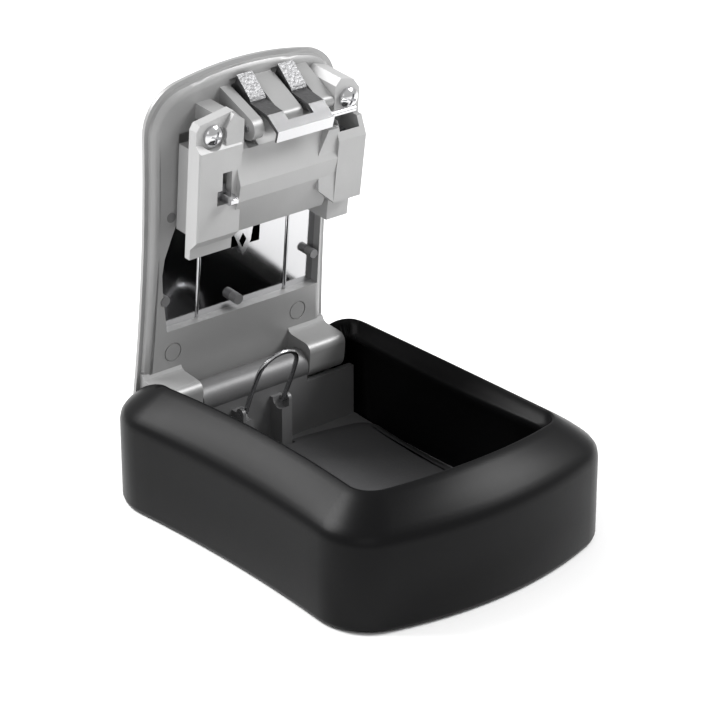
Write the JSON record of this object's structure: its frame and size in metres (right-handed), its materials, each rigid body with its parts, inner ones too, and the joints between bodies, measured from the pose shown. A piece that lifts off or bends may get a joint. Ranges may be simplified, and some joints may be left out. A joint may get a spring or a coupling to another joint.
{
  "type": "wall key lock box",
  "caption": "Wall-mounted key lock box lying on its back with the hinged lid open, showing the number lock, sprung hooks and wire key loop.",
  "frame": {"origin": "centre of the flat back face, which lies against the wall", "axes": "+X across the case to the right seen from the front, +Y along the case towards the hinge, +Z out of the wall"},
  "size_m": [0.0828, 0.1158, 0.1084],
  "materials": {
    "black_shell": "satin",
    "grey_casting": "satin",
    "housing_grey": "satin",
    "bright_chrome": "polished",
    "steel": "satin",
    "brass": "satin",
    "dial_black": "gloss",
    "mat_rubber": "matte"
  },
  "bodies": {
    "case": {"case_shell": "black_shell", "base_casting": "grey_casting", "base_screws": "steel", "floor_mat": "mat_rubber", "hinge_pin": "steel"},
    "loop": {"key_loop": "steel"},
    "lid": {"lid_casting": "grey_casting", "face_plate": "bright_chrome", "plate_rivets": "steel", "lock_housing": "housing_grey", "housing_screws": "bright_chrome", "latch_guide_pins": "steel", "cover_click_spring": "bright_chrome", "dial_click_spring": "steel", "dial_axle": "steel", "dial_spring": "steel", "latch_spring": "steel", "reset_spring": "steel", "cover_stop_pins": "steel"},
    "latch": {"latch_bracket": "bright_chrome", "latch_slide": "steel", "open_button": "dial_black"},
    "reset": {"reset_lever": "bright_chrome"},
    "cover": {"dust_cover": "black_shell"},
    "dial_1": {"number_dial_1": "dial_black", "code_cam_1": "brass"},
    "dial_2": {"number_dial_2": "dial_black", "code_cam_2": "brass"},
    "dial_3": {"number_dial_3": "dial_black", "code_cam_3": "brass"},
    "dial_4": {"number_dial_4": "dial_black", "code_cam_4": "brass"}
  },
  "joints": [
    {"name": "lid_hinge", "type": "hinge", "parent": "case", "child": "lid", "pos_m": [0, 0.0429, 0.0211], "axis": [1, 0, 0], "range_deg": [0, 84.6]},
    {"name": "loop_swing", "type": "hinge", "parent": "case", "child": "loop", "pos_m": [0, 0.036, 0.0166], "axis": [1, 0, 0], "range_deg": [0, 50]},
    {"name": "latch_draw", "type": "slide", "parent": "lid", "child": "latch", "axis": [0, 0.0941, -0.9956], "range_m": [0, 0.003], "stiffness_N_per_m": 150, "springref_m": -0.002, "deforming": ["latch_spring"]},
    {"name": "reset_slide", "type": "slide", "parent": "lid", "child": "reset", "axis": [0, -0.0941, 0.9956], "range_m": [0, 0.005]},
    {"name": "cover_slide", "type": "slide", "parent": "lid", "child": "cover", "axis": [0, -0.0941, 0.9956], "range_m": [0, 0.033]},
    {"name": "dial_1_turn", "type": "hinge", "parent": "lid", "child": "dial_1", "pos_m": [0, 0.03939, 0.07953], "axis": [1, 0, 0], "continuous": true},
    {"name": "dial_2_turn", "type": "hinge", "parent": "lid", "child": "dial_2", "pos_m": [0, 0.03939, 0.07953], "axis": [1, 0, 0], "continuous": true},
    {"name": "dial_3_turn", "type": "hinge", "parent": "lid", "child": "dial_3", "pos_m": [0, 0.03939, 0.07953], "axis": [1, 0, 0], "continuous": true},
    {"name": "dial_4_turn", "type": "hinge", "parent": "lid", "child": "dial_4", "pos_m": [0, 0.03939, 0.07953], "axis": [1, 0, 0], "continuous": true}
  ],
  "couplings": [
    {"joint": "loop_swing", "follows": "lid_hinge", "ratio": 0.59}
  ]
}
